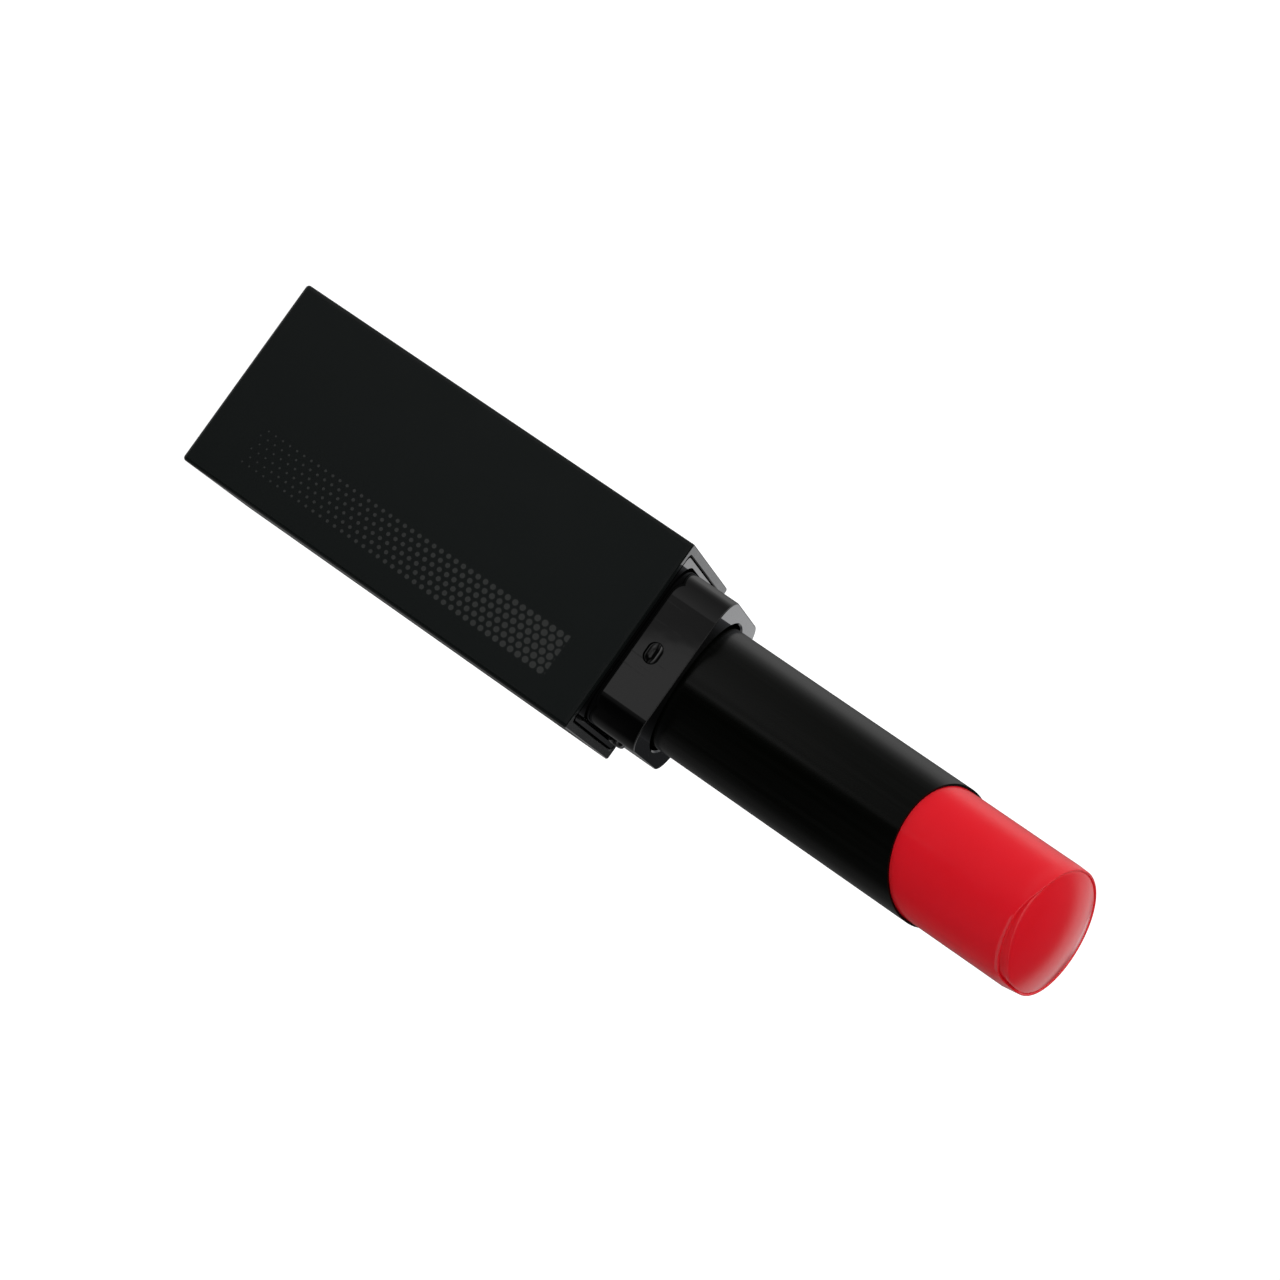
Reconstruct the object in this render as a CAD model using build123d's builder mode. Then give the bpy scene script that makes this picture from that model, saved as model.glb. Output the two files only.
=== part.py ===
from build123d import *

import os
from math import atan, pi, sin

# Twist-up lipstick case with a square base, a square neck, a round tube and a raised lipstick.
#
# Millimetres and degrees. +Z runs up the axis from the bottom of the base to the tip, and the
# origin is the middle of the bottom. The front of the base looks towards -Y. The tube turns
# inside the base about Z. Two pins on the carrier pass through straight slots in the guide
# and run in two steep grooves in the fixed sleeve, so turning the tube lifts the lipstick.

os.makedirs("parts", exist_ok=True)

# Driving dimensions
case_width = 20.0
base_height = 44.9
lipstick_radius = 6.35
tube_radius = 6.6
turn_angle = 12.3  # how far the tube stands turned from the base's front
lipstick_turn = 9.0  # how far the lipstick does, set a little askew in its cup
tube_slant = 29.2  # slope of the tube's mouth, low side to the front
lipstick_slant = 20.9  # slope of the lipstick's end face
mouth_height = 77.5  # tube's mouth, on the axis
face_height = 89.5  # rim of the lipstick's end face, on the axis
running_gap = 0.05
fitting_gap = 0.02  # between pieces that are pushed or glued together
end_play = 0.2

# Travel of the lipstick, counted from the raised position that is modelled
lift_down = 15.0
lift_up = 5.0
lead = 20.0  # rise for one whole turn

# Outer shell of the base
shell_wall = 0.9
shell_floor = 1.4
shell_edge = 0.35
shell_rim_chamfer = 0.1
cavity_corner = 0.5
cavity_width = case_width - 2 * shell_wall

# Blank shade label, let into the bottom
label_width = 15.4
label_corner = 1.5
label_gap = 0.15
label_recess = 0.2
label_thickness = 0.12

# Weight under the insert
weight_width = 17.2
weight_height = 5.0
weight_corner = 1.2
weight_edge = 0.3
boss_radius = 2.9
boss_height = 3.0
boss_gap = 0.1

# Insert that fills the shell and carries the neck and the sleeve
insert_bottom = shell_floor + weight_height
insert_floor = 1.1
insert_fit_width = cavity_width - 2 * fitting_gap
insert_rim_gap = 0.18  # fine gap seen between shell and insert
insert_rim_width = cavity_width - 2 * insert_rim_gap
insert_rim_height = 3.6
insert_corner = 0.6
chamber_radius = 8.15
core_radius = 1.1
core_spacing = 15.0
core_depth = 30.0

# Neck that the cap grips
neck_width = 16.4
neck_corner = 2.9
neck_top = 50.3
neck_seat = 41.9
neck_foot_height = 1.0
neck_slit = 0.3  # open gap between the neck and the insert's rim
neck_bore = 7.0
neck_bearing_height = 1.9
neck_end_edge = 0.12
neck_bore_edge = 0.15
recess_width = neck_width + 2 * neck_slit
recess_corner = neck_corner + neck_slit
nub_length = 2.1
nub_width = 1.5
nub_height = 0.28
nub_edge = 0.22
nub_level = 47.1

# Carrier: cup, skirt and the two pins
cup_radius = 6.32
cup_wall = 0.4
cup_rim = 68.5
cup_floor = 60.0
cup_floor_thickness = 1.2
cup_vent_radius = 1.0
skirt_wall = 0.7
pin_level = 30.5
pin_radius = 0.85
pin_reach = 7.85
pin_below = 1.8  # skirt left below the pins

# Guide that turns with the tube
guide_bottom = insert_bottom + insert_floor + end_play
guide_top = neck_seat - end_play
guide_radius = 7.03
guide_bore = lipstick_radius + running_gap
tube_socket = 38.0  # bottom of the tube, inside the guide
flange_radius = 7.9
flange_height = 0.9
slot_gap = 0.15

# Friction ring between the guide's flange and the sleeve
ring_inner = guide_radius + fitting_gap
ring_outer = 7.85
ring_height = 0.4
ring_gap = 0.05

# Sleeve with the grooves
sleeve_bottom = guide_bottom + flange_height + ring_height + ring_gap
sleeve_radius = 8.33
sleeve_bore = 7.13
groove_floor = 8.0
groove_gap = 0.15
groove_start = 6.9  # inside the bore, so that the groove is open to it

# Lipstick
spigot_radius = cup_radius - cup_wall - fitting_gap
tip_radius = 6.22
tip_shift = 0.1  # towards -X, so that the ledge round the tip is widest on the other side
mould_depth = 0.4  # mould line below the end face, on the axis
mould_turn = 1.0
dome_height = 1.5


def slanted_plane(height, slant, turn):
    """Plane across the axis, low at the front and turned away from it."""
    normal = Vector(0, 0, 1).rotate(Axis.X, slant).rotate(Axis.Z, -turn)
    return Plane(origin=(0, 0, height), z_dir=normal)


def across_plane(height):
    """Upright plane through the axis, facing the way the pins point."""
    outward = Vector(1, 0, 0).rotate(Axis.Z, -turn_angle)
    return Plane(origin=(0, 0, height), x_dir=(0, 0, 1), z_dir=outward)


# Outer shell: closed bottom, open top, shallow recess for the label
with BuildPart() as base_shell:
    with BuildSketch():
        Rectangle(case_width, case_width)
    extrude(amount=base_height)
    fillet(base_shell.edges().filter_by(Axis.Z), radius=shell_edge)
    fillet(base_shell.faces().sort_by(Axis.Z)[0].edges(), radius=shell_edge)
    with BuildSketch(Plane.XY.offset(shell_floor)):
        RectangleRounded(cavity_width, cavity_width, cavity_corner)
    extrude(amount=base_height - shell_floor, mode=Mode.SUBTRACT)
    chamfer(base_shell.faces().sort_by(Axis.Z)[-1].edges(), length=shell_rim_chamfer)
    with BuildSketch():
        RectangleRounded(
            label_width + 2 * label_gap, label_width + 2 * label_gap, label_corner + label_gap
        )
    extrude(amount=label_recess, mode=Mode.SUBTRACT)
base_shell.part.label = "base_shell"
export_step(base_shell.part, "parts/base_shell.step")

# Blank label on the roof of that recess, clear of the surface the case stands on
with BuildPart() as shade_label:
    with BuildSketch(Plane.XY.offset(label_recess - label_thickness)):
        RectangleRounded(label_width, label_width, label_corner)
    extrude(amount=label_thickness)
shade_label.part.label = "shade_label"
export_step(shade_label.part, "parts/shade_label.step")

# Weight block with a hole for the insert's boss
with BuildPart() as base_weight:
    with BuildSketch(Plane.XY.offset(shell_floor)):
        RectangleRounded(weight_width, weight_width, weight_corner)
        Circle(boss_radius + boss_gap, mode=Mode.SUBTRACT)
    extrude(amount=weight_height)
    chamfer(base_weight.edges().filter_by(GeomType.LINE).filter_by(Plane.XY), length=weight_edge)
base_weight.part.label = "base_weight"
export_step(base_weight.part, "parts/base_weight.step")

# Insert: square block, slimmer at the rim, with a stepped round chamber and the neck's recess
with BuildPart() as base_insert:
    with BuildSketch(Plane.XY.offset(insert_bottom)):
        RectangleRounded(insert_fit_width, insert_fit_width, insert_corner)
    extrude(amount=base_height - insert_rim_height - insert_bottom)
    with BuildSketch(Plane.XY.offset(base_height - insert_rim_height)):
        RectangleRounded(insert_rim_width, insert_rim_width, insert_corner)
    extrude(amount=insert_rim_height)
    with BuildSketch(Plane.XY.offset(insert_bottom - boss_height)):
        Circle(boss_radius)
    extrude(amount=boss_height)
    with BuildSketch(Plane.XY.offset(insert_bottom + insert_floor)):
        Circle(chamber_radius)
    extrude(amount=base_height, mode=Mode.SUBTRACT)
    with BuildSketch(Plane.XY.offset(sleeve_bottom)):
        Circle(sleeve_radius)
    extrude(amount=base_height, mode=Mode.SUBTRACT)
    with BuildSketch(Plane.XY.offset(neck_seat)):
        RectangleRounded(recess_width, recess_width, recess_corner)
    extrude(amount=base_height, mode=Mode.SUBTRACT)
    with BuildSketch(Plane.XY.offset(insert_bottom)):
        with GridLocations(core_spacing, core_spacing, 2, 2):
            Circle(core_radius)
    extrude(amount=core_depth, mode=Mode.SUBTRACT)
base_insert.part.label = "base_insert"
export_step(base_insert.part, "parts/base_insert.step")

# One snap nub on the neck's front face
with BuildPart() as snap_nub:
    with BuildSketch(Plane.XZ.offset(neck_width / 2)):
        with Locations((0, nub_level)):
            SlotOverall(nub_length, nub_width)
    extrude(amount=nub_height)
    fillet(snap_nub.faces().sort_by(Axis.Y)[0].edges(), radius=nub_edge)

# Neck: rounded square with a foot in the recess, a bearing for the tube and four snap nubs
with BuildPart() as neck_collar:
    with BuildSketch(Plane.XY.offset(neck_seat)):
        RectangleRounded(recess_width, recess_width, recess_corner)
    extrude(amount=neck_foot_height)
    with BuildSketch(Plane.XY.offset(neck_seat)):
        RectangleRounded(neck_width, neck_width, neck_corner)
    extrude(amount=neck_top - neck_seat)
    fillet(neck_collar.faces().sort_by(Axis.Z)[-1].edges(), radius=neck_end_edge)
    with BuildSketch(Plane.XY.offset(neck_seat)):
        Circle(tube_radius + running_gap)
    extrude(amount=neck_top - neck_seat, mode=Mode.SUBTRACT)
    with BuildSketch(Plane.XY.offset(neck_seat + neck_bearing_height)):
        Circle(neck_bore)
    extrude(amount=neck_top, mode=Mode.SUBTRACT)
    neck_mouth = neck_collar.faces().sort_by(Axis.Z)[-1].inner_wires()[0]
    chamfer(neck_mouth.edges(), length=neck_bore_edge)
    with PolarLocations(0, 4):
        add(snap_nub.part)
neck_collar.part.label = "neck_collar"
export_step(neck_collar.part, "parts/neck_collar.step")

# Cutter for one groove: a left-hand helix, run out past both ends of the pins' travel
helix_radius = (groove_start + groove_floor) / 2
rise_angle = atan(lead / (2 * pi * helix_radius))
run_out = (pin_radius + groove_gap) * sin(rise_angle)
groove_height = lift_down + lift_up + 2 * run_out
with BuildPart() as groove_cutter:
    with BuildLine(Plane.XY.offset(pin_level - lift_down - run_out)):
        groove_path = Helix(lead, groove_height, helix_radius, lefthand=True)
    with BuildSketch(Plane(origin=groove_path @ 0, x_dir=(1, 0, 0), z_dir=groove_path % 0)):
        Rectangle(groove_floor - groove_start, 2 * (pin_radius + groove_gap))
    sweep(path=groove_path, is_frenet=True)

# Sleeve, fixed in the insert, with a groove on each side
groove_turn = 360 * (lift_down + run_out) / lead - turn_angle
with BuildPart() as spiral_sleeve:
    with BuildSketch(Plane.XY.offset(sleeve_bottom)):
        Circle(sleeve_radius)
        Circle(sleeve_bore, mode=Mode.SUBTRACT)
    extrude(amount=neck_seat - sleeve_bottom)
    with PolarLocations(0, 2, start_angle=groove_turn):
        add(groove_cutter.part, mode=Mode.SUBTRACT)
spiral_sleeve.part.label = "spiral_sleeve"
export_step(spiral_sleeve.part, "parts/spiral_sleeve.step")

# Guide: flanged tube with two straight slots and a socket for the visible tube
slot_length = lift_down + lift_up + 2 * (pin_radius + slot_gap)
slot_middle = pin_level + (lift_up - lift_down) / 2
with BuildPart() as slotted_guide:
    with BuildSketch(Plane.XY.offset(guide_bottom)):
        Circle(flange_radius)
    extrude(amount=flange_height)
    with BuildSketch(Plane.XY.offset(guide_bottom)):
        Circle(guide_radius)
    extrude(amount=guide_top - guide_bottom)
    with BuildSketch(Plane.XY.offset(guide_bottom)):
        Circle(guide_bore)
    extrude(amount=guide_top, mode=Mode.SUBTRACT)
    with BuildSketch(Plane.XY.offset(tube_socket)):
        Circle(tube_radius)
    extrude(amount=guide_top, mode=Mode.SUBTRACT)
    with BuildSketch(across_plane(slot_middle)):
        SlotOverall(slot_length, 2 * (pin_radius + slot_gap))
    extrude(amount=case_width, both=True, mode=Mode.SUBTRACT)
slotted_guide.part.label = "slotted_guide"
export_step(slotted_guide.part, "parts/slotted_guide.step")

# Friction ring on top of the guide's flange
with BuildPart() as friction_ring:
    with BuildSketch(Plane.XY.offset(guide_bottom + flange_height)):
        Circle(ring_outer)
        Circle(ring_inner, mode=Mode.SUBTRACT)
    extrude(amount=ring_height)
friction_ring.part.label = "friction_ring"
export_step(friction_ring.part, "parts/friction_ring.step")

# Visible tube: thin wall and a slanted mouth
with BuildPart() as outer_tube:
    with BuildSketch(Plane.XY.offset(tube_socket)):
        Circle(tube_radius)
        Circle(guide_bore, mode=Mode.SUBTRACT)
    extrude(amount=face_height - tube_socket)
    split(bisect_by=slanted_plane(mouth_height, tube_slant, turn_angle), keep=Keep.BOTTOM)
outer_tube.part.label = "outer_tube"
export_step(outer_tube.part, "parts/outer_tube.step")

# Carrier: cup on a long skirt, with a pin on each side
with BuildPart() as carrier:
    with BuildSketch(Plane.XY.offset(pin_level - pin_below)):
        Circle(cup_radius)
    extrude(amount=cup_rim - pin_level + pin_below)
    with BuildSketch(across_plane(pin_level)):
        Circle(pin_radius)
    extrude(amount=pin_reach, both=True)
    with BuildSketch(Plane.XY.offset(pin_level - pin_below)):
        Circle(cup_radius - skirt_wall)
    extrude(
        amount=cup_floor - cup_floor_thickness - pin_level + pin_below, mode=Mode.SUBTRACT
    )
    with BuildSketch(Plane.XY.offset(cup_floor)):
        Circle(cup_radius - cup_wall)
    extrude(amount=cup_rim - cup_floor, mode=Mode.SUBTRACT)
    with BuildSketch(Plane.XY.offset(cup_floor)):
        Circle(cup_vent_radius)
    extrude(amount=-cup_floor_thickness, mode=Mode.SUBTRACT)
carrier.part.label = "carrier"
export_step(carrier.part, "parts/carrier.step")

# Dome over the lipstick's end face: a ball that meets the face's rim
dome_radius = (lipstick_radius**2 + dome_height**2) / (2 * dome_height)
dome_frame = slanted_plane(face_height, lipstick_slant, lipstick_turn)
dome_centre = dome_frame.origin - dome_frame.z_dir * (dome_radius - dome_height)
mould_plane = slanted_plane(face_height - mould_depth, lipstick_slant, mould_turn)

# Tip above the mould line, a little slimmer than the stick below it
with BuildPart() as tip:
    with BuildSketch(Plane.XY.offset(cup_rim)):
        with Locations((-tip_shift, 0)):
            Circle(tip_radius)
    extrude(amount=face_height)
    with Locations(dome_centre):
        Sphere(dome_radius, mode=Mode.INTERSECT)
    split(bisect_by=mould_plane, keep=Keep.TOP)

# Lipstick: spigot in the cup, stick up to the mould line, and the tip
with BuildPart() as lipstick:
    with BuildSketch(Plane.XY.offset(cup_rim)):
        Circle(lipstick_radius)
    extrude(amount=face_height - cup_rim + lipstick_radius)
    split(bisect_by=mould_plane, keep=Keep.BOTTOM)
    with BuildSketch(Plane.XY.offset(cup_floor)):
        Circle(spigot_radius)
    extrude(amount=cup_rim - cup_floor)
    add(tip.part)
lipstick.part.label = "lipstick"
export_step(lipstick.part, "parts/lipstick.step")
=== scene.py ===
"""Looks of the twist-up lipstick case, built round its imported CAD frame, in metres.

The case stands upright on z = 0 with its front to -Y. The camera looks at it from the front
and a little above, rolled so that the case lies across the picture with its tip down right.
"""

import math

import bpy
from mathutils import Matrix, Vector, noise


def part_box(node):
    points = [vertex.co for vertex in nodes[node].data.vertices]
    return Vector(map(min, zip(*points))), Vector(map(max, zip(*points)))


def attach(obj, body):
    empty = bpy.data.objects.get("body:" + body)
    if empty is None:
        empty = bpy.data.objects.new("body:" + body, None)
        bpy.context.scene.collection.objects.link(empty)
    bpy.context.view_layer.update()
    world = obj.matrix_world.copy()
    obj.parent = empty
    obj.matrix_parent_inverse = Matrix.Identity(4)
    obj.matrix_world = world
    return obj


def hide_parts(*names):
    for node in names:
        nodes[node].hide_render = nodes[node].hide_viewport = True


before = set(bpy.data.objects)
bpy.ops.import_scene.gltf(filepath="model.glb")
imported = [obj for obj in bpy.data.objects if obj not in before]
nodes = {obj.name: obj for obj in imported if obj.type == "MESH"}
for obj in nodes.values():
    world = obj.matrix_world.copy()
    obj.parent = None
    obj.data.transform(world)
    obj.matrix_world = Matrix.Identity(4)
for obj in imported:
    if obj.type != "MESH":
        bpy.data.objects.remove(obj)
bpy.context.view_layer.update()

MM = 0.001
MICRON = 0.001 * MM


# ---------------------------------------------------------------- shader node helpers

class Graph:
    """The node tree of a world or material, with short calls for the nodes used here."""

    def __init__(self, owner):
        owner.use_nodes = True
        self.tree = owner.node_tree

    def add(self, kind, inputs=(), **settings):
        """A new node. inputs is {socket name or number: a value or another node's socket}."""
        made = self.tree.nodes.new(kind)
        for key, value in settings.items():
            setattr(made, key, value)
        for key, value in dict(inputs).items():
            self.feed(made.inputs[key], value)
        return made

    def feed(self, socket, value):
        if isinstance(value, bpy.types.NodeSocket):
            self.tree.links.new(value, socket)
        else:
            socket.default_value = value

    def place(self, scale=(1.0, 1.0, 1.0)):
        """Place on the object in millimetres, stretched by scale."""
        place = self.add("ShaderNodeTexCoord").outputs["Object"]
        per_metre = [s / MM for s in scale]
        return self.add("ShaderNodeMapping", {"Vector": place, "Scale": per_metre}).outputs[0]

    def axes(self):
        """The place's x, y and z in millimetres."""
        return self.add("ShaderNodeSeparateXYZ", {0: self.place()}).outputs

    def noise(self, size, detail=2.0, stretch=(1.0, 1.0, 1.0)):
        """Noise whose lumps are about size millimetres across."""
        scale = [s / size for s in stretch]
        inputs = {"Vector": self.place(scale), "Scale": 1.0, "Detail": detail}
        return self.add("ShaderNodeTexNoise", inputs).outputs["Fac"]

    def maths(self, operation, a, b=0.0, c=0.0):
        inputs = {0: a, 1: b, 2: c}
        return self.add("ShaderNodeMath", inputs, operation=operation).outputs[0]

    def ramp(self, value, low, high, at_low=0.0, at_high=1.0):
        """at_low where value is below low, at_high above high, and smooth in between."""
        inputs = {"Value": value, "From Min": low, "From Max": high}
        inputs |= {"To Min": at_low, "To Max": at_high}
        made = self.add("ShaderNodeMapRange", inputs, interpolation_type="SMOOTHSTEP")
        return made.outputs[0]

    def blend(self, share, a, b):
        """Colour a where share is 0 and b where it is 1."""
        made = self.add("ShaderNodeMix", data_type="RGBA")
        self.feed(made.inputs[0], share)
        self.feed(made.inputs[6], a)
        self.feed(made.inputs[7], b)
        return made.outputs[2]

    def bump(self, height, depth, strength=1.0, under=None):
        """Bumps depth metres high, on top of the bumps in under."""
        inputs = {"Height": height, "Distance": depth, "Strength": strength}
        if under is not None:
            inputs["Normal"] = under
        return self.add("ShaderNodeBump", inputs).outputs[0]


class Finish(Graph):
    """A material on the Principled shader."""

    def __init__(self, name):
        self.material = bpy.data.materials.new(name)
        super().__init__(self.material)
        self.shader = self.tree.nodes["Principled BSDF"]

    def set(self, **inputs):
        """Sets the shader's own sockets, named with _ for a space."""
        for key, value in inputs.items():
            self.feed(self.shader.inputs[key.replace("_", " ")], value)


def colour(red, green, blue):
    return (red, green, blue, 1.0)


def paint(node, material):
    for slot in nodes[node].material_slots:
        slot.material = material


def new_object(name, vertices, faces, material):
    """A smooth object with one material, placed in the scene."""
    mesh = bpy.data.meshes.new(name)
    mesh.from_pydata(vertices, [], faces)
    mesh.shade_smooth()
    mesh.materials.append(material)
    made = bpy.data.objects.new(name, mesh)
    bpy.context.scene.collection.objects.link(made)
    return made


# ---------------------------------------------------------------- materials

# Ornament on the front: staggered dots of varnish along the +X edge, larger towards the neck
DOT_PITCH = 0.85
DOT_COLUMN = DOT_PITCH * math.sin(math.pi / 3)  # width of one of the staggered columns
DOT_RADIUS_LOW, DOT_RADIUS_HIGH = 0.08, 0.34
DOT_BAND = (3.0, 7.4)  # from the middle of the front
DOT_SPAN = (5.0, 40.5)  # above the bottom
DOT_BLUR = 0.03
FRONT_DEPTH = 0.05  # how near to the front face a place counts as on it
RIM_DEPTH = 0.12  # the shell's bare cut rim
RIM_SHARE = 0.45  # its roughness, as a share of the painted sides'


def varnish_dots(g, x, y, z, front):
    """1 on the dots of the ornament and 0 elsewhere."""
    column = g.maths("DIVIDE", g.maths("SUBTRACT", x, DOT_BAND[0]), DOT_COLUMN)
    shift = g.maths("MULTIPLY", g.maths("FLOORED_MODULO", g.maths("FLOOR", column), 2.0), 0.5)
    place = g.maths("ADD", g.maths("DIVIDE", z, DOT_PITCH), shift)
    across = g.maths("SUBTRACT", g.maths("FRACT", column), 0.5)
    along = g.maths("SUBTRACT", g.maths("FRACT", place), 0.5)
    across = g.maths("MULTIPLY", across, DOT_COLUMN)
    along = g.maths("MULTIPLY", along, DOT_PITCH)
    reach = g.maths("SQRT", g.maths("ADD", g.maths("POWER", across, 2.0),
                                    g.maths("POWER", along, 2.0)))
    grown = g.add("ShaderNodeMapRange", {
        "Value": z, "From Min": DOT_SPAN[0], "From Max": DOT_SPAN[1],
        "To Min": DOT_RADIUS_LOW, "To Max": DOT_RADIUS_HIGH}).outputs[0]
    inside = g.ramp(g.maths("SUBTRACT", reach, grown), -DOT_BLUR, DOT_BLUR, 1.0, 0.0)
    for value, (low, high) in ((x, DOT_BAND), (z, DOT_SPAN)):
        inside = g.maths("MULTIPLY", inside, g.maths("GREATER_THAN", value, low))
        inside = g.maths("MULTIPLY", inside, g.maths("LESS_THAN", value, high))
    return g.maths("MULTIPLY", inside, g.maths("LESS_THAN", y, front + FRONT_DEPTH))


def satin_shell():
    """Soft-touch black of the outer shell, polished a little along its edges."""
    g = Finish("satin_shell")
    low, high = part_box("base_shell")
    half = (high.x - low.x) / 2 / MM
    x, y, z = g.axes()
    beside = g.maths("MINIMUM", g.maths("ABSOLUTE", x), g.maths("ABSOLUTE", y))
    ends = g.maths("MINIMUM", z, g.maths("SUBTRACT", high.z / MM, z))
    edge = g.maths("MINIMUM", g.maths("SUBTRACT", half, beside), ends)
    ragged = g.maths("MULTIPLY_ADD", g.noise(1.3), 0.5, edge)
    worn = g.ramp(ragged, 0.35, 0.75, 1.0, 0.0)
    clouds = g.noise(5.0, 3.0)
    grain = g.noise(0.11, 3.0)
    dots = varnish_dots(g, x, y, z, low.y / MM)
    base = g.blend(clouds, colour(0.0026, 0.0044, 0.0042), colour(0.0036, 0.0056, 0.0052))
    base = g.blend(worn, base, colour(0.0048, 0.0062, 0.0058))
    g.set(Base_Color=g.blend(dots, base, colour(0.033, 0.035, 0.034)))
    rough = g.ramp(clouds, 0.3, 0.7, 0.28, 0.33)
    rough = g.maths("MULTIPLY_ADD", worn, -0.06, rough)
    rough = g.maths("MULTIPLY_ADD", dots, -0.10, rough)
    cut = g.maths("GREATER_THAN", z, high.z / MM - RIM_DEPTH)
    rough = g.maths("MULTIPLY", rough, g.ramp(cut, 0.0, 1.0, 1.0, RIM_SHARE))
    g.set(Roughness=rough, Specular_IOR_Level=0.17)
    g.set(Normal=g.bump(grain, 2 * MICRON, 0.3))
    return g.material


def polished_black():
    """Moulded glossy black of the neck and the insert, with scuffs where the cap slides."""
    g = Finish("polished_black")
    scuffs = g.ramp(g.noise(0.25, 4.0, (1.0, 1.0, 0.06)), 0.62, 0.74)
    tint = g.noise(4.0)
    g.set(Base_Color=g.blend(tint, colour(0.0010, 0.0010, 0.0011), colour(0.002, 0.002, 0.002)))
    g.set(Roughness=g.maths("MULTIPLY_ADD", scuffs, 0.10, 0.04))
    g.set(Specular_IOR_Level=0.35)
    g.set(Normal=g.bump(g.noise(1.6, 1.0), 2 * MICRON, 0.5))
    return g.material


def tube_lacquer():
    """Black lacquer on the drawn tube: faint draw lines along it and a soft gloss."""
    g = Finish("tube_lacquer")
    lines = g.noise(0.5, 3.0, (1.0, 1.0, 0.02))
    tint = g.noise(6.0)
    g.set(Base_Color=g.blend(tint, colour(0.0004, 0.0006, 0.0002), colour(0.0008, 0.0011, 0.0004)))
    g.set(Roughness=g.ramp(lines, 0.3, 0.7, 0.18, 0.23))
    g.set(Specular_IOR_Level=0.2)
    g.set(Normal=g.bump(g.noise(0.18, 2.0), 1 * MICRON, 0.3))
    return g.material


def wax():
    """Pressed red wax: soft light inside it, a glossy skin and fine pores."""
    g = Finish("wax")
    clouds = g.noise(3.0, 3.0)
    pores = g.noise(0.14, 3.0)
    g.set(Base_Color=g.blend(clouds, colour(0.93, 0.011, 0.022), colour(0.97, 0.015, 0.030)))
    g.set(Subsurface_Weight=0.25)
    g.set(Subsurface_Radius=(1.0, 0.25, 0.18), Subsurface_Scale=0.4 * MM)
    g.set(Roughness=g.ramp(pores, 0.3, 0.7, 0.13, 0.20))
    g.set(Specular_IOR_Level=0.32)
    g.set(Normal=g.bump(pores, 1 * MICRON, 0.3))
    return g.material


def label_film():
    """Blank satin film of the shade label."""
    g = Finish("label_film")
    fibres = g.noise(0.2, 4.0, (1.0, 0.1, 1.0))
    g.set(Base_Color=g.blend(fibres, colour(0.70, 0.69, 0.67), colour(0.78, 0.77, 0.75)))
    g.set(Roughness=g.ramp(fibres, 0.3, 0.7, 0.30, 0.42))
    g.set(Normal=g.bump(fibres, 2 * MICRON, 0.4))
    return g.material


def zinc():
    """Zinc-plated steel of the weight, with turning marks."""
    g = Finish("zinc")
    rings = g.add("ShaderNodeTexWave", {"Vector": g.place(), "Scale": 3.0, "Distortion": 0.4},
                  wave_type="RINGS", rings_direction="Z").outputs["Fac"]
    spangle = g.noise(1.2, 3.0)
    g.set(Base_Color=g.blend(spangle, colour(0.38, 0.39, 0.40), colour(0.52, 0.52, 0.50)))
    g.set(Metallic=1.0, Roughness=g.ramp(spangle, 0.3, 0.7, 0.28, 0.42))
    g.set(Normal=g.bump(rings, 6 * MICRON, 0.5))
    return g.material


def acetal(name, light, dark):
    """Moulded acetal of the mechanism."""
    g = Finish(name)
    flow = g.noise(2.5, 3.0, (1.0, 1.0, 0.3))
    g.set(Base_Color=g.blend(flow, dark, light))
    g.set(Roughness=g.ramp(flow, 0.3, 0.7, 0.34, 0.46))
    g.set(Normal=g.bump(g.noise(0.12, 2.0), 2 * MICRON, 0.5))
    return g.material


def silicone():
    """Grey silicone of the friction ring."""
    g = Finish("silicone")
    dust = g.noise(0.3, 4.0)
    g.set(Base_Color=g.blend(dust, colour(0.28, 0.28, 0.28), colour(0.38, 0.38, 0.37)))
    g.set(Roughness=g.ramp(dust, 0.3, 0.7, 0.55, 0.75))
    g.set(Normal=g.bump(dust, 3 * MICRON, 0.5))
    return g.material


paint("base_shell", satin_shell())
black = polished_black()
paint("base_insert", black)
paint("neck_collar", black)
paint("outer_tube", tube_lacquer())
paint("shade_label", label_film())
paint("base_weight", zinc())
paint("spiral_sleeve", acetal("acetal_natural", colour(0.72, 0.71, 0.67), colour(0.64, 0.63, 0.59)))
paint("slotted_guide", acetal("acetal_white", colour(0.78, 0.78, 0.76), colour(0.70, 0.70, 0.68)))
paint("carrier", acetal("acetal_black", colour(0.030, 0.030, 0.031), colour(0.022, 0.022, 0.022)))
paint("friction_ring", silicone())


# ---------------------------------------------------------------- the lipstick's own mesh

# Millimetres and degrees
FACE_HEIGHT, FACE_SLANT, FACE_TURN = 89.45, 20.9, 9.0  # end face, on the axis
MOULD_DEPTH, MOULD_TURN = 0.55, 1.0  # mould line, below the face
TIP_RADIUS, TIP_SHIFT = 6.2, -0.1
DOME_HEIGHT = 1.25
SPIGOT_RADIUS = 5.9
BEAD = 0.115  # radius of the moulded bead round the rim
BEAD_RISE = 0.11  # how far the bead stands above the end face where the two meet
GROOVE_DROP, GROOVE_RISE = 0.02, 0.02  # groove inside the bead, and its floor's rise inwards
TIP_GAP = 0.01  # least gap between the bead and the tip
TIP_EDGE = ((0.0, 0.03), (0.01, 0.008))  # points of the tip's soft edge: inwards, down
TIP_EDGE_WIDTH = 0.035
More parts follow.
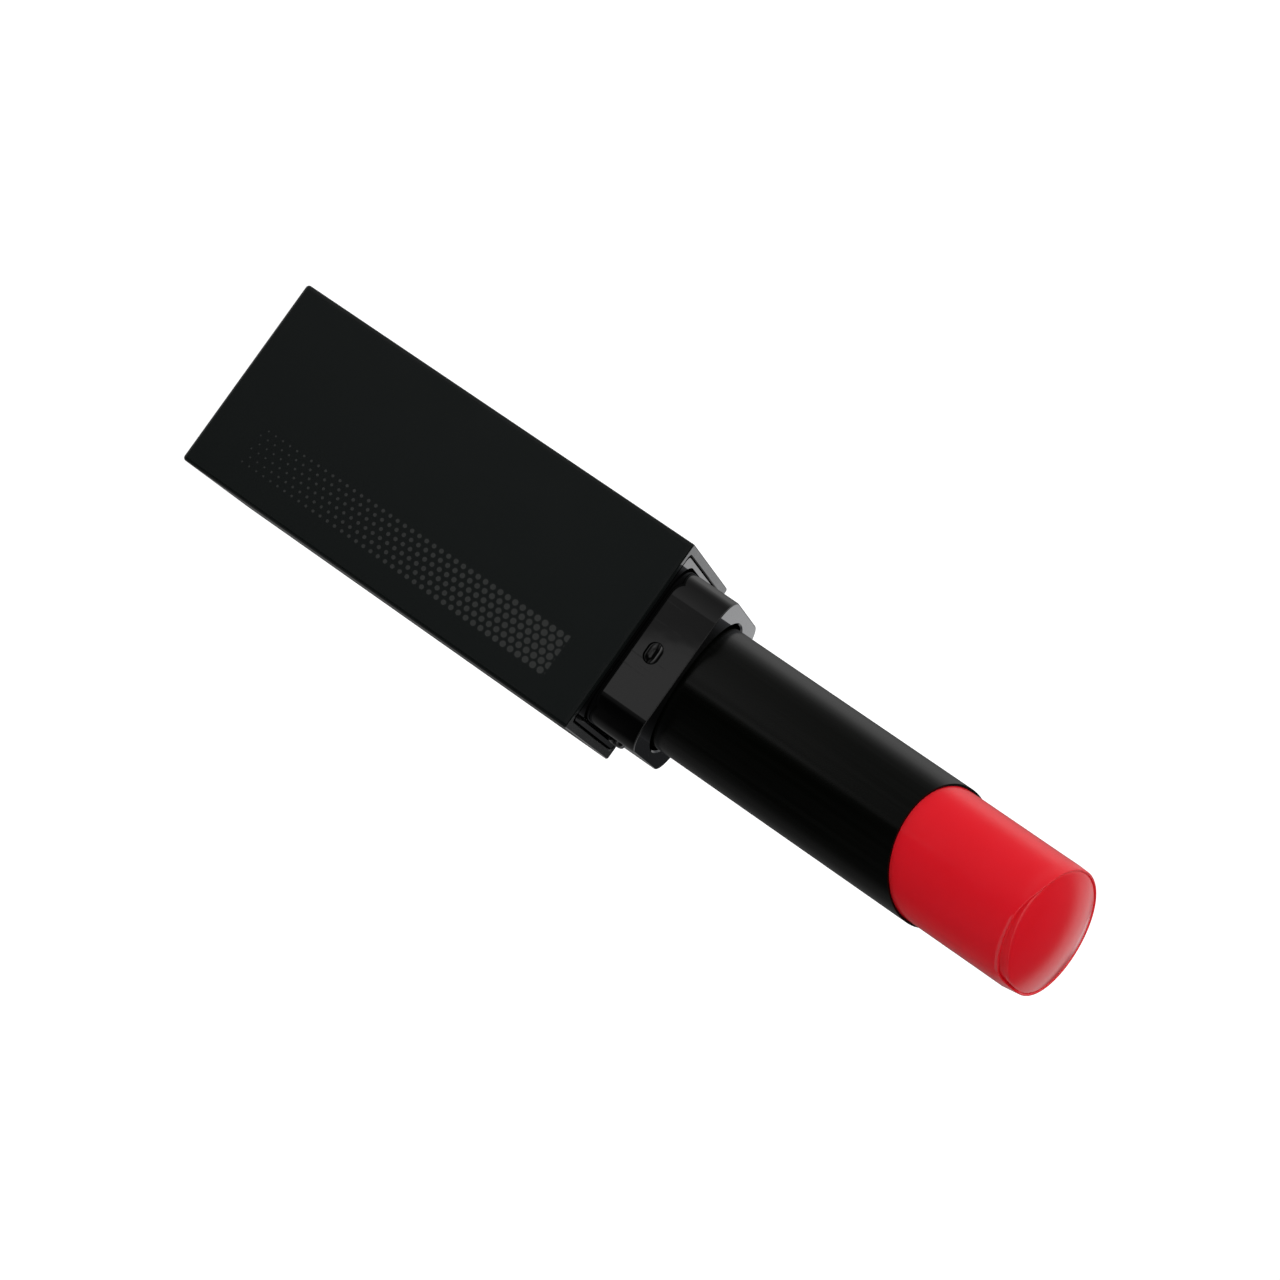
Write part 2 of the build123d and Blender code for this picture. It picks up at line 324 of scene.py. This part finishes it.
# The step in the mould line, by angle from the front towards +X: it grows between the first
# two and fades between the last two
STEP_FROM, STEP_WIDE, STEP_UNTIL, STEP_END = -35.0, 10.0, 62.0, 92.0
SHOULDER = 0.5  # taper of the wall below the rim
WAVE_SIZE, WAVE_DEPTH = 3.5, 0.012  # faint waves in the wall
AROUND = 360
WALL_RINGS, DOME_RINGS, BEAD_RINGS = 48, 26, 8


def smooth(value, low, high):
    t = min(max((value - low) / (high - low), 0.0), 1.0)
    return t * t * (3 - 2 * t)


def slanted(x, y, height, turn):
    """Height of the slanted plane over x, y; it is low at the front, turned towards -X by turn."""
    slope, t = math.tan(math.radians(FACE_SLANT)), math.radians(turn)
    return height + slope * (math.sin(t) * x + math.cos(t) * y)


def dome(x, y):
    """Height of the ball that the end face is part of."""
    rise = (TIP_RADIUS**2 - DOME_HEIGHT**2) / (2 * DOME_HEIGHT)
    ball = (TIP_RADIUS**2 + DOME_HEIGHT**2) / (2 * DOME_HEIGHT)
    s, t = math.radians(FACE_SLANT), math.radians(FACE_TURN)
    up = Vector((-math.sin(s) * math.sin(t), -math.sin(s) * math.cos(t), math.cos(s)))
    middle = Vector((0, 0, FACE_HEIGHT)) - up * rise
    return middle.z + math.sqrt(ball**2 - (x - middle.x)**2 - (y - middle.y)**2)


def mix(a, b, share):
    return a + (b - a) * share


def bullet_profile(angle, stick, foot):
    """Points (radius, height) up one side, at an angle from the front towards +X."""
    a = math.radians(angle)
    out_x, out_y = math.sin(a), -math.cos(a)
    tip = TIP_SHIFT * out_x + math.sqrt(TIP_RADIUS**2 - (TIP_SHIFT * out_y)**2)
    turned = (angle + 180) % 360 - 180
    step = smooth(turned, STEP_FROM, STEP_WIDE) * (1 - smooth(turned, STEP_UNTIL, STEP_END))
    mould = slanted(stick * out_x, stick * out_y, FACE_HEIGHT - MOULD_DEPTH, MOULD_TURN)
    edge = dome((tip - 2 * BEAD) * out_x, (tip - 2 * BEAD) * out_y)
    bead_radius = mix(tip - BEAD, stick - BEAD, step)
    bead_height = mix(edge - BEAD + BEAD_RISE, mould - BEAD, step)
    wall_top = mould - BEAD - mix(SHOULDER, 0.0, step)
    points = [(SPIGOT_RADIUS, foot[0]), (SPIGOT_RADIUS, foot[1]), (stick - BEAD, foot[1])]
    for k in range(WALL_RINGS + 1):
        height = mix(foot[1] + BEAD, wall_top, k / WALL_RINGS)
        place = Vector((stick * out_x, stick * out_y, height)) / WAVE_SIZE
        sink = WAVE_DEPTH * (noise.noise(place) + 1) / 2
        points.append((stick - sink, height))
    for k in range(BEAD_RINGS + 1):
        turn = math.pi * k / BEAD_RINGS
        points.append((bead_radius + BEAD * math.cos(turn), bead_height + BEAD * math.sin(turn)))
    inner = bead_radius - BEAD
    groove = bead_height - mix(GROOVE_DROP, 0.5 * BEAD, step)
    wall = min(tip, inner - TIP_GAP)
    top = mix(edge, dome(tip * out_x, tip * out_y), step)
    points += [(mix(inner, wall, 0.5), groove), (wall, groove + GROOVE_RISE)]
    points.append((wall, mix(groove, top, 0.5)))
    points += [(wall - inwards, top - down) for inwards, down in TIP_EDGE]
    for k in range(DOME_RINGS):
        r = (wall - TIP_EDGE_WIDTH) * (1 - k / DOME_RINGS)
        points.append((r, dome(r * out_x, r * out_y)))
    return points


def bullet():
    """The lipstick: spigot, waxy wall, mould bead with its step, and domed end face."""
    low, high = (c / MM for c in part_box("lipstick"))
    stick = (high.x - low.x) / 2
    foot = (low.z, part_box("carrier")[1].z / MM)
    vertices, faces = [], []
    for k in range(AROUND):
        angle = 360 * k / AROUND
        a = math.radians(angle)
        for radius, height in bullet_profile(angle, stick, foot):
            place = Vector((radius * math.sin(a), -radius * math.cos(a), min(height, high.z)))
            vertices.append(place * MM)
    rows = len(vertices) // AROUND
    for k in range(AROUND):
        here, there = k * rows, (k + 1) % AROUND * rows
        for j in range(rows - 1):
            faces.append((here + j, there + j, there + j + 1, here + j + 1))
    bottom, top = len(vertices), len(vertices) + 1
    vertices += [Vector((0, 0, foot[0])) * MM, Vector((0, 0, dome(0, 0))) * MM]
    for k in range(AROUND):
        here, there = k * rows, (k + 1) % AROUND * rows
        faces.append((bottom, there, here))
        faces.append((top, here + rows - 1, there + rows - 1))
    made = new_object("lipstick_bullet", vertices, faces, wax())
    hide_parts("lipstick")
    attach(made, "carrier")


bullet()


# ---------------------------------------------------------------- the neck's snap nubs

NUB_LEVEL = 47.1
NUB_LENGTH, NUB_WIDTH = 2.18, 1.58  # just over the CAD nub, which it hides
NUB_STAND = 0.28  # CAD nub's height, which the collar's box takes in
NUB_HEIGHT = 0.4
NUB_FULLNESS = 2.6  # 2 is an ellipse, and more is a flatter crown
NUB_SUNK = 0.05  # how far the nub's foot goes into the neck
NUB_AROUND, NUB_RINGS = 64, 12


def snap_nubs():
    """Crowned oval nub on each face of the neck."""
    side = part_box("neck_collar")[1].x / MM - NUB_STAND
    half, reach = (NUB_LENGTH - NUB_WIDTH) / 2, NUB_WIDTH / 2
    rings = [(reach, -NUB_SUNK)]
    for k in range(NUB_RINGS):
        share = 1 - k / NUB_RINGS
        rise = (1 - share**NUB_FULLNESS)**(1 / NUB_FULLNESS)
        rings.append((reach * share, NUB_HEIGHT * rise))
    vertices, faces = [], []
    for quarter in range(4):
        turn = Matrix.Rotation(quarter * math.pi / 2, 3, "Z")
        first = len(vertices)
        for radius, rise in rings:
            for j in range(NUB_AROUND):
                a = 2 * math.pi * (j + 0.5) / NUB_AROUND
                along = math.copysign(half, math.cos(a)) + radius * math.cos(a)
                place = Vector((along, -side - rise, NUB_LEVEL + radius * math.sin(a)))
                vertices.append(turn @ place * MM)
        for k in range(len(rings) - 1):
            for j in range(NUB_AROUND):
                here = first + k * NUB_AROUND
                there = (j + 1) % NUB_AROUND
                faces.append((here + j, here + there, here + NUB_AROUND + there,
                              here + NUB_AROUND + j))
        last = first + (len(rings) - 1) * NUB_AROUND
        faces.append(tuple(range(last, last + NUB_AROUND)))
    made = new_object("snap_nubs", vertices, faces, black)
    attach(made, "base")


snap_nubs()


# ---------------------------------------------------------------- studio

FLOOR_REACH = 4.0
FLOOR_GREY = 0.4
FLOOR_GLOW = 0.97  # lifts the grey floor to white, with next to no shadow


def floor():
    """White floor that only the camera sees, and that it can look up through from below."""
    g = Finish("pale_floor")
    g.set(Base_Color=colour(FLOOR_GREY, FLOOR_GREY, FLOOR_GREY), Roughness=0.9)
    g.set(Specular_IOR_Level=0.0)
    g.set(Emission_Color=colour(1.0, 1.0, 1.0), Emission_Strength=FLOOR_GLOW)
    under = g.add("ShaderNodeNewGeometry").outputs["Backfacing"]
    clear = g.add("ShaderNodeBsdfTransparent").outputs[0]
    both = g.add("ShaderNodeMixShader", {0: under, 1: g.shader.outputs[0], 2: clear})
    output = g.tree.nodes["Material Output"]
    g.tree.links.new(both.outputs[0], output.inputs["Surface"])
    corners = [(x * FLOOR_REACH, y * FLOOR_REACH, 0)
               for x, y in ((-1, -1), (1, -1), (1, 1), (-1, 1))]
    made = new_object("floor", corners, [(0, 1, 2, 3)], g.material)
    made.visible_glossy = False
    made.visible_diffuse = False
    made.visible_shadow = False


# The studio round the case, in rows from below to above: height over the horizon in degrees,
# tint, and brightness by angle from the front towards -X
NEUTRAL = (1.0, 1.0, 1.0)
COOL = (0.90, 0.93, 1.0)
STUDIO = [
    (-60, NEUTRAL, [(-180, 0.6), (-90, 0.9), (-20, 1.1), (20, 1.5), (90, 1.4), (180, 0.6)]),
    (-32, NEUTRAL, [(-180, 0.35), (-90, 0.5), (-50, 0.2), (-20, 0.0), (0, 0.05), (40, 0.4),
                    (90, 0.6), (180, 0.35)]),
    (-20, NEUTRAL, [(-180, 0.15), (-115, 0.45), (-70, 0.4), (-40, 0.1), (-6, 0.0), (0, 0.25),
                    (5, 1.1), (14, 1.5), (40, 1.0), (75, 0.6), (98, 0.8), (117, 1.0),
                    (137, 0.6), (156, 0.3), (174, 0.2), (178, 0.1)]),
    (-13, NEUTRAL, [(-180, 0.12), (-115, 0.12), (-95, 0.02), (-20, 0.0), (-14, 0.03), (-5, 0.25),
                    (3, 0.3), (12, 0.65), (25, 0.55), (75, 0.3), (90, 0.35), (104, 0.72),
                    (117, 1.1), (130, 0.75), (146, 0.35), (160, 0.16), (178, 0.1)]),
    (-8, NEUTRAL, [(-180, 0.12), (-115, 0.12), (-95, 0.02), (-2, 0.0), (4, 0.02), (13, 0.06),
                   (40, 0.06), (75, 0.15), (92, 0.3), (104, 0.7), (117, 1.1), (130, 0.75),
                   (146, 0.35), (160, 0.16), (178, 0.1)]),
    (1, NEUTRAL, [(-180, 0.4), (-150, 0.5), (-110, 0.3), (-60, 0.4), (-24, 0.3), (-5, 0.02),
                  (10, 0.04), (26, 0.4), (60, 0.6), (110, 1.0), (150, 0.6), (180, 0.4)]),
    (13, COOL, [(-180, 0.04), (-172, 0.12), (-150, 0.2), (-110, 0.3), (-80, 0.1), (-12, 0.03),
                (14, 0.03), (80, 0.1), (120, 0.8), (150, 0.35), (176, 0.3), (178.6, 0.04)]),
    (24, NEUTRAL, [(-180, 0.9), (-150, 0.7), (-130, 0.35), (-80, 0.8), (-30, 1.4), (30, 3.3),
                   (90, 2.7), (140, 0.85), (180, 0.9)]),
    (38, NEUTRAL, [(-180, 0.8), (-150, 0.75), (-120, 0.5), (-60, 0.6), (0, 1.1), (50, 1.4),
                   (110, 1.1), (150, 0.8), (180, 0.8)]),
    (56, NEUTRAL, [(-180, 0.1), (-90, 0.12), (0, 0.15), (90, 0.2), (180, 0.1)]),
    (80, NEUTRAL, [(-180, 0.06), (-90, 0.05), (0, 0.05), (90, 0.08), (180, 0.06)]),
]
# Round glows on top of the rows: azimuth, elevation, radius, width of the soft edge, brightness
CARDS = [(-1.0, -12.5, 4.4, 0.2, 0.65), (174.0, 13.8, 2.6, 0.8, 0.8)]
CAMERA_WHITE = 1.05


def way(azimuth, elevation):
    """Unit vector towards a place in the studio."""
    a, e = math.radians(azimuth), math.radians(elevation)
    return Vector((-math.sin(a) * math.cos(e), -math.cos(a) * math.cos(e), math.sin(e)))


def ring(g, turn, tint, levels):
    """Brightness by angle round the case, from (degrees, brightness) pairs."""
    made = g.add("ShaderNodeValToRGB", {0: turn})
    stops = made.color_ramp.elements
    while len(stops) < len(levels):
        stops.new(0.5)
    for stop, (degrees, level) in zip(stops, levels):
        stop.position = (degrees + 180) / 360
        stop.color = colour(*(level * t for t in tint))
    return made.outputs["Color"]


def studio():
    """Soft light from all round, white where the camera sees it."""
    world = bpy.data.worlds.new("studio")
    bpy.context.scene.world = world
    g = Graph(world)
    g.tree.nodes.clear()
    direction = g.add("ShaderNodeTexCoord").outputs["Generated"]
    x, y, z = g.add("ShaderNodeSeparateXYZ", {0: direction}).outputs
    angle = g.maths("ARCTAN2", g.maths("MULTIPLY", x, -1), g.maths("MULTIPLY", y, -1))
    turn = g.maths("MULTIPLY_ADD", angle, 1 / (2 * math.pi), 0.5)
    light = ring(g, turn, *STUDIO[0][1:])
    for (under, *_), (over, tint, levels) in zip(STUDIO, STUDIO[1:]):
        heights = [math.sin(math.radians(d)) for d in (under, over)]
        light = g.blend(g.ramp(z, *heights), light, ring(g, turn, tint, levels))
    glow = 0.0
    for azimuth, elevation, radius, edge, level in CARDS:
        facing = g.add("ShaderNodeVectorMath", {0: direction, 1: way(azimuth, elevation)},
                       operation="DOT_PRODUCT").outputs["Value"]
        rim = [math.cos(math.radians(radius + side * edge)) for side in (0.5, -0.5)]
        glow = g.maths("ADD", g.ramp(facing, *rim, 0.0, level), glow)
    lit = g.add("ShaderNodeBackground", {"Color": light}).outputs[0]
    extra = g.add("ShaderNodeBackground", {"Color": colour(1, 1, 1), "Strength": glow}).outputs[0]
    every = g.add("ShaderNodeAddShader", {0: lit, 1: extra}).outputs[0]
    white = g.add("ShaderNodeBackground", {"Color": colour(1, 1, 1), "Strength": CAMERA_WHITE})
    seen = g.add("ShaderNodeLightPath").outputs["Is Camera Ray"]
    both = g.add("ShaderNodeMixShader", {0: seen, 1: every, 2: white.outputs[0]}).outputs[0]
    g.add("ShaderNodeOutputWorld", {"Surface": both})


# ---------------------------------------------------------------- camera

CAMERA_PLACE = Vector((12.375, -257.24, 109.88)) * MM
CAMERA_AZIMUTH = math.radians(2.913)  # from the front, towards +X
CAMERA_ELEVATION = math.radians(14.4955)
CAMERA_ROLL = math.radians(124.548)
SENSOR = 36.0
LENS = 80.967


def camera():
    ahead = Vector((
        -math.sin(CAMERA_AZIMUTH) * math.cos(CAMERA_ELEVATION),
        math.cos(CAMERA_AZIMUTH) * math.cos(CAMERA_ELEVATION),
        -math.sin(CAMERA_ELEVATION),
    ))
    level = ahead.cross(Vector((0, 0, 1))).normalized()
    turn = Matrix.Rotation(-CAMERA_ROLL, 3, ahead)
    right = turn @ level
    up = right.cross(ahead)
    data = bpy.data.cameras.new("camera")
    data.sensor_width = SENSOR
    data.lens = LENS
    data.clip_start = 0.01
    made = bpy.data.objects.new("camera", data)
    bpy.context.scene.collection.objects.link(made)
    made.matrix_world = Matrix((right, up, -ahead)).transposed().to_4x4()
    made.matrix_world.translation = CAMERA_PLACE
    bpy.context.scene.camera = made


floor()
studio()
camera()
bpy.context.scene.view_settings.view_transform = "Standard"
